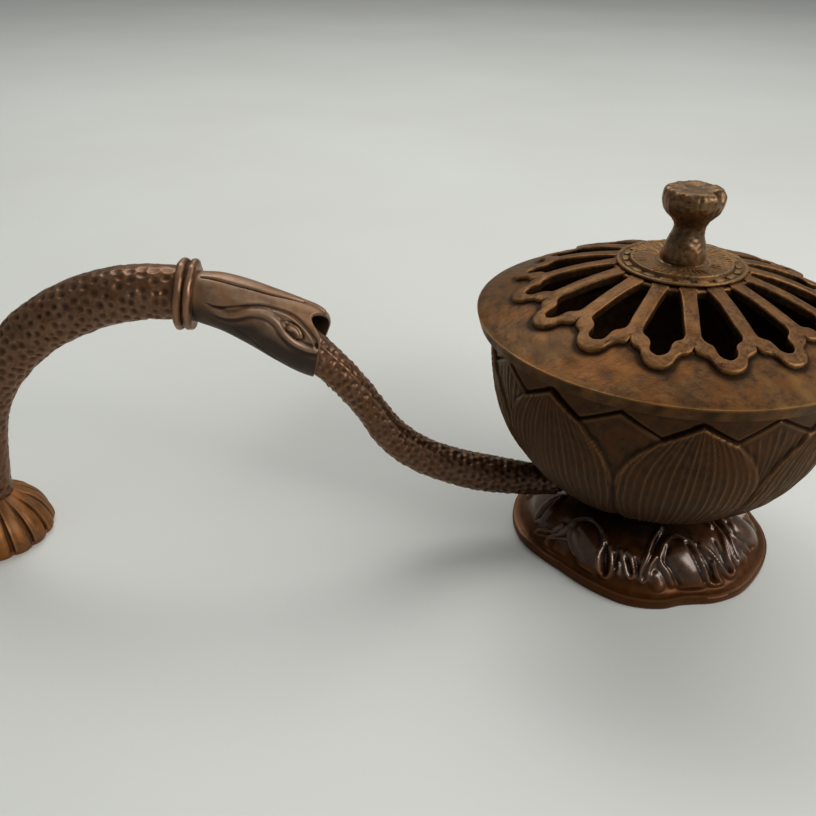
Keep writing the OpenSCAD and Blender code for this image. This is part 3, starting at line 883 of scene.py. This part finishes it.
def make_brim():
    columns, rows = 800, 52
    angle = turns(columns)
    inner = 40.6 + 7.2 * ((1 + np.cos(np.radians(PETALS * angle))) / 2) ** 1.55
    share = np.linspace(0, 1, rows)[:, None]
    radius = BRIM_R + (inner[None, :] - BRIM_R) * share
    upper = np.stack([radius, value_at(radius, BRIM_TOP[::-1])], -1)
    under = np.stack([inner, value_at(inner, [(40, 88.8), (41.5, 88.2), (RING_R, 84.4)])], -1)

    def rings(*places):
        return np.array(places, float)[:, None] * np.ones((columns, 1))

    edge = rings((58.8, 79), (59.1, 80), (59.4, 81), (59.6, 82), (59.8, 82.5))
    below = np.stack([under * (1 - k) + rings((RING_R, 84.4))[0] * k for k in (0, 0.33, 0.66, 1)])
    seat = rings((RING_R, 81.7), (RING_R, 79), (54.6, 79))
    section = np.concatenate([edge, upper, below, seat])
    grid = np.dstack([polar(section[..., 0], angle), section[..., 1]])
    shown = rows_of(grid, 3, 50)
    distance = from_axis(grid)
    relief = 0.1 * ripple(grid, 22, 51) + 0.04 * ripple(grid, 3, 52)
    relief *= shown * (1 - 0.8 * step(distance, 57, 59.5))
    # Painted highlight: a pale line along the brim's top edge.
    edge_highlight = bell(np.arange(len(grid)) - len(edge), 0.9)[:, None]
    tone = 0.5 + 0.4 * edge_highlight + 0.12 * ripple(grid, 6, 53) * shown
    # Painted shade: the side band under the edge is made darker than the top.
    tone[:4] = 0.34 + 0.14 * ripple(grid[:4], 5, 54)
    # Painted sheen: the right side of the brim is made lighter.
    tone += 0.26 * step(grid[..., 0], -8, 44)
    # Painted shade along the ribs' free edges, where they overhang the brim.
    folded = np.dstack([polar(distance, np.abs(wrapped(angle, PITCH))), 0 * distance])
    tips = spline([(41.1, 8.17)] + EDGE_FREE, 6)
    tips = np.column_stack([tips, np.zeros(len(tips))])
    tone = tone - 0.6 * bell(distance_to(folded, tips), 1.3) * shown
    make_ring("lid_brim_cast", lid_turned(raised(grid, relief, True)),
              (lid_bronze, "lid", "lid_bronze", "lid_brim"), np.clip(tone, 0, 1), 30)


# Half of one opening, from the middle outwards, in the petal's own axes
OPENING = [(19.7, 0), (19.72, 0.75), (19.9, 1.35), (20.6, 1.72), (24.5, 2.72), (30, 3.8), (35, 4.8),
           (37.4, 5.3), (38.9, 5.15), (39.8, 4.35), (40.4, 3.5), (41.2, 2.95), (42.2, 2.72),
           (43.2, 2.65), (44.2, 2.42), (45.05, 1.85), (45.6, 1.0), (45.83, 0.45), (45.9, 0)]
# The rib's other edge, matched to it: round the crown, along the line between two petals, then free
CROWN_R = 17.9
CROWN_ANGLES = [0, 3, 5, PITCH / 2]     # the third is where a rib's side meets the shelf
SHELF_DROP = 0.5                        # the shelf between the ribs, next to the disc
EDGE_ON_LINE = [CROWN_R, 23.6, 29.6, 35.2, 38.4, 40.4, 41.9]
EDGE_FREE = [(42.5, 7.95), (43.5, 7.0), (44.3, 5.6), (45.4, 4.75), (46.9, 4.3), (48.3, 3.5),
             (49.3, 2.2), (49.7, 1.0), (49.8, 0)]
RIB_TOP = [(STUD_HOLE, 98.5), (19, 98.5), (22, 97.9), (27, 96.7), (32, 95.2), (37, 93.4), (41.5, 91.5),
           (46, 89.8), (49.8, 88.3)]
RIB_UNDER = [(STUD_HOLE, 95.2), (8, 95.2), (16, 95.5), (19.7, 95.6), (22, 95.3), (27, 94.2), (32, 92.7),
             (37, 90.9), (41.5, 88.8), (45, 86.9), (RING_R, 84.4)]
PER_SPAN = 5                            # points in every span of an edge


def at_height(flat, profile):
    """Points [x, y] lifted to the heights of a profile turned round the axis."""
    return np.dstack([flat, value_at(from_axis(flat), profile)])


def half_petal():
    """Patches of half a petal of the open work: rows of points, tones, and the columns in use."""
    hole = spline(OPENING, PER_SPAN)
    around, spans = len(CROWN_ANGLES) - 1, len(EDGE_ON_LINE) - 1
    arc = polar(CROWN_R, np.interp(np.arange(around * PER_SPAN) / PER_SPAN, range(around + 1),
                                   CROWN_ANGLES))
    on_line = np.interp(np.arange(spans * PER_SPAN + 1) / PER_SPAN, range(spans + 1), EDGE_ON_LINE)
    line = polar(on_line, PITCH / 2)
    edge = np.vstack([arc, line, spline([tuple(line[-1])] + EDGE_FREE, PER_SPAN)[1:]])
    columns = np.arange(len(hole))
    arc_end, line_end = around * PER_SPAN, (around + spans) * PER_SPAN
    free = step(columns, line_end - 2, line_end + 2)
    width = np.linalg.norm(edge - hole, axis=1)
    marks = np.array([0, 0.07, 0.2, 0.4, 0.7])[:, None]
    middle = np.array([0.3, 0.42, 0.58, 0.7])[:, None] * np.ones(len(hole))
    share = np.vstack([marks / width, middle, 1 - marks[::-1] / width])

    def between(a, b, places):
        places = np.reshape(places, (len(places), -1, 1))
        return a * (1 - places) + b * places

    def rounding(gap, size):
        return size * (1 - np.sqrt(1 - np.clip(1 - gap / size, 0, 1) ** 2))

    top = at_height(between(hole, edge, share), RIB_TOP)
    from_hole, from_edge = share * width, (1 - share) * width
    top[..., 2] -= rounding(from_hole, 0.5) + rounding(from_edge, 0.45) * free
    top[..., 2] -= SHELF_DROP * (1 - step(columns, arc_end - PER_SPAN - 1.2, arc_end - PER_SPAN + 0.2))
    crown = np.sin(np.pi / 2 * share) * (1 - free) + np.sin(np.pi * share) * free
    top[..., 2] += 0.2 * crown * step(columns, arc_end, arc_end + 2 * PER_SPAN)
    rims = bell(from_hole - 0.25, 0.25) + bell(from_edge - 0.25, 0.25) * free
    tone = 0.54 + 0.22 * np.clip(rims, 0, 1)
    under = at_height(between(hole, edge, [1, 0.5, 0]), RIB_UNDER)
    edge_wall = between(top[-1], under[0], [0.2, 0.5, 0.8])
    hole_wall = between(under[-1], top[0], [0.2, 0.5, 0.8])
    inwards = np.array([14, 10, 6, STUD_HOLE])[:, None, None] / CROWN_R
    to_centre = [at_height(edge * inwards, RIB_TOP), at_height(edge * inwards[::-1], RIB_UNDER)]
    everywhere = np.ones(len(hole), bool)
    return [
        (top, tone, everywhere),
        (np.concatenate([top[-1:], edge_wall, under[:1]]), None, columns >= line_end),
        (np.concatenate([top[-1:], *to_centre, under[:1]]), None, columns <= arc_end),
        (under, None, everywhere),
        (np.concatenate([under[-1:], hole_wall, top[:1]]), None, everywhere),
    ]


def welded(points, tones, faces):
    """The same faces with points in one place made one, and without collapsed faces."""
    _, first, place_of = np.unique(np.round(points, 3), axis=0, return_index=True, return_inverse=True)
    faces = place_of.reshape(-1)[faces]
    faces = faces[(np.diff(np.sort(faces, axis=1), axis=1) > 0).all(1)]
    used, faces = np.unique(faces, return_inverse=True)
    return points[first][used], tones[first][used], faces.reshape(-1, 4)


def make_grille():
    points, tones, quads, start = [], [], [], 0
    for rows, tone, kept in half_petal():
        count, columns = rows.shape[:2]
        faces = np.arange(count * columns).reshape(count, columns)
        use = np.flatnonzero(kept[:-1] & kept[1:])
        a, b = faces[:-1][:, use], faces[:-1][:, use + 1]
        c, d = faces[1:][:, use + 1], faces[1:][:, use]
        quads.append(np.stack([a, b, c, d], -1).reshape(-1, 4) + start)
        points.append(rows.reshape(-1, 3))
        # The walls and undersides get a dark tone: painted shade.
        tones.append(np.full(count * columns, 0.2) if tone is None else tone.ravel())
        start += count * columns
    points, tones, quads = np.vstack(points), np.concatenate(tones), np.vstack(quads)
    halves = [(points * [1, side, 1] @ spin(k * PITCH), quads[:, ::side])
              for k in range(PETALS) for side in (1, -1)]
    faces = np.vstack([corners + k * start for k, (_, corners) in enumerate(halves)])
    places, tone, faces = welded(np.vstack([half for half, _ in halves]),
                                 np.tile(tones, len(halves)), faces)

    def uneven(size, seed):
        return ripple(places[:, None, :], size, seed)[:, 0]

    spread = step(from_axis(places), 24, 40)
    places[:, 2] += (0.07 * uneven(4, 61) + 0.12 * uneven(25, 62)) * spread
    places[:, 0] += 0.16 * uneven(11, 63) * spread
    places[:, 1] += 0.16 * uneven(11, 64) * spread
    tone = tone + 0.1 * uneven(5, 65) * (tone > 0.45)
    make("rosette_ribs", lid_turned(places), faces, [],
         (rib_bronze, "lid", "rib_bronze", "rosette_grille"), np.clip(tone, 0, 1), 50)


def make_disc():
    columns = 640
    profile = outline(
        (18.3, 98.5), (straight, 3, [(18.8, 98.75)]),
        (smooth, 12, [(19, 99.1), (18.8, 99.5), (18.4, 99.62), (17.9, 99.5)]),
        (smooth, 12, [(17.5, 99.15), (17.1, 99.02), (16, 99), (15.3, 99)]),
        (straight, 5, [(15, DISC_TOP_Z)]), (smooth, 5, [(14.9, 100.2), (14.5, 100.35)]),
        (smooth, 26, [(13.6, 100.25), (12, 100.1), (9.6, 99.95), (8, DISC_TOP_Z), (6.9, DISC_TOP_Z)]),
        (straight, 6, [(STUD_HOLE, DISC_TOP_Z), (STUD_HOLE, 98.5)]), (straight, 6, [(18.3, 98.5)]))[:-1]
    grid = lathe(profile, columns)
    distance, height = from_axis(grid), grid[..., 2]
    angle = turns(columns)[None, :]
    upper = height > 98.9
    floor = step(distance, 7.6, 9) * (1 - step(distance, 14.3, 14.8)) * upper
    strands = np.sin(np.radians(angle * 46 + 60 * np.sin(np.radians(angle * 5)) + 9 * distance))
    strands = strands * (0.6 + 0.9 * ripple(grid, 5, 72))
    relief = (0.17 * strands - 0.1) * floor - 0.12 * bell(distance - 7.4, 0.35) * upper
    relief += 0.06 * ripple(grid, 6, 71) * upper * step(distance, 3, 5)
    # Painted shade in the channel, and painted highlights along the lip's crest and the plate's edge.
    channel = bell(distance - 16.0, 1.3) * upper
    tone = hollows(relief, 10, True, 2.2) - 0.2 * channel + 0.15 * bell(distance - 18.5, 0.5) * upper
    tone = tone + 0.25 * bell(distance - 14.6, 0.35) * (height > 100)
    make_ring("rosette_plate", lid_turned(raised(grid, relief, True)),
              (disc_bronze, "lid", "rib_bronze", "rosette_disc"), np.clip(tone, 0, 1))


def make_stamens():
    """Short rounded bars set radially in the disc's channel."""
    bars, rows, columns = 20, 10, 16
    random = np.random.RandomState(81)
    along = np.linspace(-1, 1, rows)[:, None]
    taper = np.maximum(1 - np.abs(along) ** 6, 0.02)
    side, up = polar(1, turns(columns)).T
    side, up = np.sign(side) * np.abs(side) ** 0.6, np.sign(up) * np.abs(up) ** 0.7
    quads, caps = rod_faces(rows, columns)
    points, tones = [], []
    for k in range(bars):
        width, height = random.uniform(1.75, 1.95), random.uniform(0.38, 0.5)
        bar = np.dstack([16.2 + 1.1 * along * np.ones(columns), width * taper * side,
                         99.05 + height * taper * up])
        bar = bar @ spin(k * 360 / bars + 4 + random.uniform(-0.8, 0.8))
        points.append(rod_points(bar))
        # Painted light and shade: the bars are paler on top and darker low down in the channel.
        tones.append(np.append(np.clip(0.5 + (bar[..., 2] - 99.3), 0.2, 0.85), [0.5, 0.5]))
    starts = np.arange(bars)[:, None, None] * len(points[0])
    make("stamen_bars", lid_turned(np.vstack(points)), quads + starts, (caps + starts).reshape(-1, 3),
         (disc_bronze, "lid", "rib_bronze", "stamen_ring"), np.concatenate(tones))


KNOB_SIDE = [(6.2, DISC_TOP_Z), (6.4, 100.6), (6.4, 102.2), (6.1, 104), (5.2, 106.2), (4.6, 107.8),
             (4.4, 109.2), (4.6, 110.8), (5.5, 112.2), (6.9, 113.6), (8.1, 115.2), (8.75, 117),
             (8.95, 118.4), (8.8, 119.6), (8.1, 120.7), (7.0, 121.3), (5.6, 121.4), (4.2, 121.2),
             (2.6, 121.1), (1.2, 121.1), (0.1, 121.1)]
# Lumps on the head, as (degrees, distance from the axis, size)
KNOB_LUMPS = [(150, 7.4, 1.3), (172, 7.8, 1.0), (198, 7.9, 1.2), (222, 7.6, 1.0),
              (120, 6.2, 1.6), (60, 5.5, 1.6), (15, 6.2, 1.5), (330, 6.6, 1.4)]


def make_knob():
    columns = 320
    inside = straight([(0.1, 112), (2.4, 112), (2.4, DISC_TOP_Z), (6.85, DISC_TOP_Z)], 14)
    grid = lathe(joined(inside, smooth(KNOB_SIDE, 130)), columns)
    shown = rows_of(grid, len(inside), None)
    angle = turns(columns)[None, :]
    z, distance = grid[..., 2], from_axis(grid)
    head = step(z, 112.5, 116.5)
    flutes = np.cos(np.radians(9 * angle + 40 * np.sin(np.radians(2 * angle))))
    relief = 0.06 * flutes * head * step(distance, 5, 8)
    dent = wrapped(angle + 50, 360) * distance * math.pi / 180
    relief = relief - 1.1 * bell(dent, 1.2) * step(z, 117.5, 120.6) * step(distance, 3, 7)
    for turn, far, size in KNOB_LUMPS:
        lump = from_axis(grid[..., :2] - polar(far, turn))
        relief = relief + 0.45 * bell(lump, size) * step(z, 118.5, 120)
    streaks = np.sin(np.radians(angle * 31 + 60 * np.sin(np.radians(3 * angle))))
    relief = relief + 0.03 * streaks * step(z, 111, 116) * step(distance, 3, 4.5)
    neck = bell(z - 109, 4) * shown
    uneven = 0.22 * ripple(grid, 6, 91) + 0.05 * ripple(grid, 2, 92)
    relief = (relief + uneven * step(distance, 0.5, 2)) * shown + 0.07 * ripple(grid, 1.3, 93) * neck
    # Painted shade: the waist under the head is made darker.
    tone = hollows(relief, 14, False, 1.1) - 0.16 * neck
    cast = raised(grid, relief, False)
    cast[..., 0] += 0.5 * step(cast[..., 2], DISC_TOP_Z, 112)
    make_rod("knob_cast", lid_turned(cast), (knob_bronze, "lid", "knob_bronze", "knob"), tone)


# ---- hidden and inner parts

def make_inner_parts():
    neck = outline((BOLT_HOLE, FOOT_TOP_Z), (straight, 4, [(13.8, FOOT_TOP_Z)]),
                   (smooth, 12, [(13, 17.2), (12.6, 17.9), (12.7, 18.5), (13.2, 19)]),
                   (straight, 8, [(BOLT_HOLE, 19), (BOLT_HOLE, 16.7)]))
    # The neck gets the darker bronze: painted shade under the bowl.
    make_ring("neck_waist", lathe(neck, 192), (dark_bronze, "censer", "dark_bronze", "pedestal_neck"),
              sharp=30)
    ring = np.array([(48.3, 72), (49.9, 72), (50.3, 72.4), (RING_R, 73), (RING_R, 84.4), (48.4, 85.2),
                     (48.2, 84.9), (48.2, 72.3)])
    make_ring("centring_ring", lathe(ring, 256), (inner_bronze, "lid", "lid_bronze", "locating_ring"),
              sharp=30)
    looks = dict.fromkeys(["base_bolt", "base_washer", "base_nut", "foot_rivet", "knob_stud",
                           "knob_washer", "knob_nut"], fastener_brass)
    # The tang gets the darker bronze: painted shade under the bowl.
    looks["handle_tang"] = dark_bronze
    for node, material in looks.items():
        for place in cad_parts[node].material_slots:
            place.material = material


# ---- stage

def make_stage():
    mesh = bpy.data.meshes.new("floor")
    reach = 6.0
    mesh.from_pydata([(-reach, -reach, 0), (reach, -reach, 0), (reach, reach, 0), (-reach, reach, 0)],
                     [], [(0, 1, 2, 3)])
    floor = bpy.data.objects.new("floor", mesh)
    bpy.context.scene.collection.objects.link(floor)
    n = Nodes("floor_cloth")
    tone = n.mix(n.ranged(n.noise(3, 3), 0.35, 0.65), colour(200, 201, 196), colour(206, 207, 203))
    mesh.materials.append(n.finished(n.add("ShaderNodeBsdfPrincipled", {
        "Base Color": tone, "Roughness": 0.55, "Specular IOR Level": 0.35})))


# Lamps: place and target in metres, size, power in watts, tint
LAMPS = {
    "key": ((0.8, -0.36, 0.6), (0, 0, 0.03), (0.7, 0.45), 6.2, (1, 0.99, 0.97)),
    "pool": ((-0.2, 0.55, 0.9), (-0.15, 0.35, 0), (0.5, 0.4), 2.4, (1, 1, 0.98)),
    "front": ((0.5, -0.52, 0.6), (0, -0.03, 0.02), (0.3, 0.24), 0.9, (1, 0.99, 0.97)),
    "ceiling": ((0.3, 1.0, 1.4), (0.05, 0.5, 0), (2.0, 1.2), 13, (1, 1, 0.98)),
}


def make_lights():
    world = bpy.data.worlds.new("studio")
    bpy.context.scene.world = world
    world.use_nodes = True
    background = world.node_tree.nodes["Background"]
    background.inputs["Color"].default_value = (0.98, 1.0, 0.98, 1)
    background.inputs["Strength"].default_value = 0.28
    for name, (place, target, size, power, tint) in LAMPS.items():
        data = bpy.data.lights.new(name, "AREA")
        data.shape = "RECTANGLE"
        data.size, data.size_y = size
        data.energy = power
        data.color = tint
        lamp = bpy.data.objects.new(name, data)
        lamp.location = place
        lamp.rotation_euler = (Vector(target) - Vector(place)).to_track_quat("-Z", "Y").to_euler()
        bpy.context.scene.collection.objects.link(lamp)


def make_camera():
    data = bpy.data.cameras.new("camera")
    data.sensor_width = 36
    data.lens = 37.5
    data.clip_start = 0.01
    camera = bpy.data.objects.new("camera", data)
    heading, pitch, roll = math.radians(-0.8), math.radians(30.08), math.radians(0.267)
    turn = (Euler((0, 0, heading)).to_matrix() @ Euler((math.pi / 2 - pitch, 0, 0)).to_matrix()
            @ Euler((0, 0, roll)).to_matrix())
    place = Vector(((AXIS_X - 84.43) * MM, -239.5 * MM, 187.93 * MM))
    camera.matrix_world = Matrix.Translation(place) @ turn.to_4x4()
    bpy.context.scene.collection.objects.link(camera)
    bpy.context.scene.camera = camera


bpy.context.scene.view_settings.view_transform = "Standard"
for build in (make_camera, make_bowl, make_foot, make_rear_foot, make_stem_lower, make_stem_upper,
              make_sheath, make_collar, make_brim, make_grille, make_disc, make_stamens, make_knob,
              make_inner_parts, make_stage, make_lights):
    build()
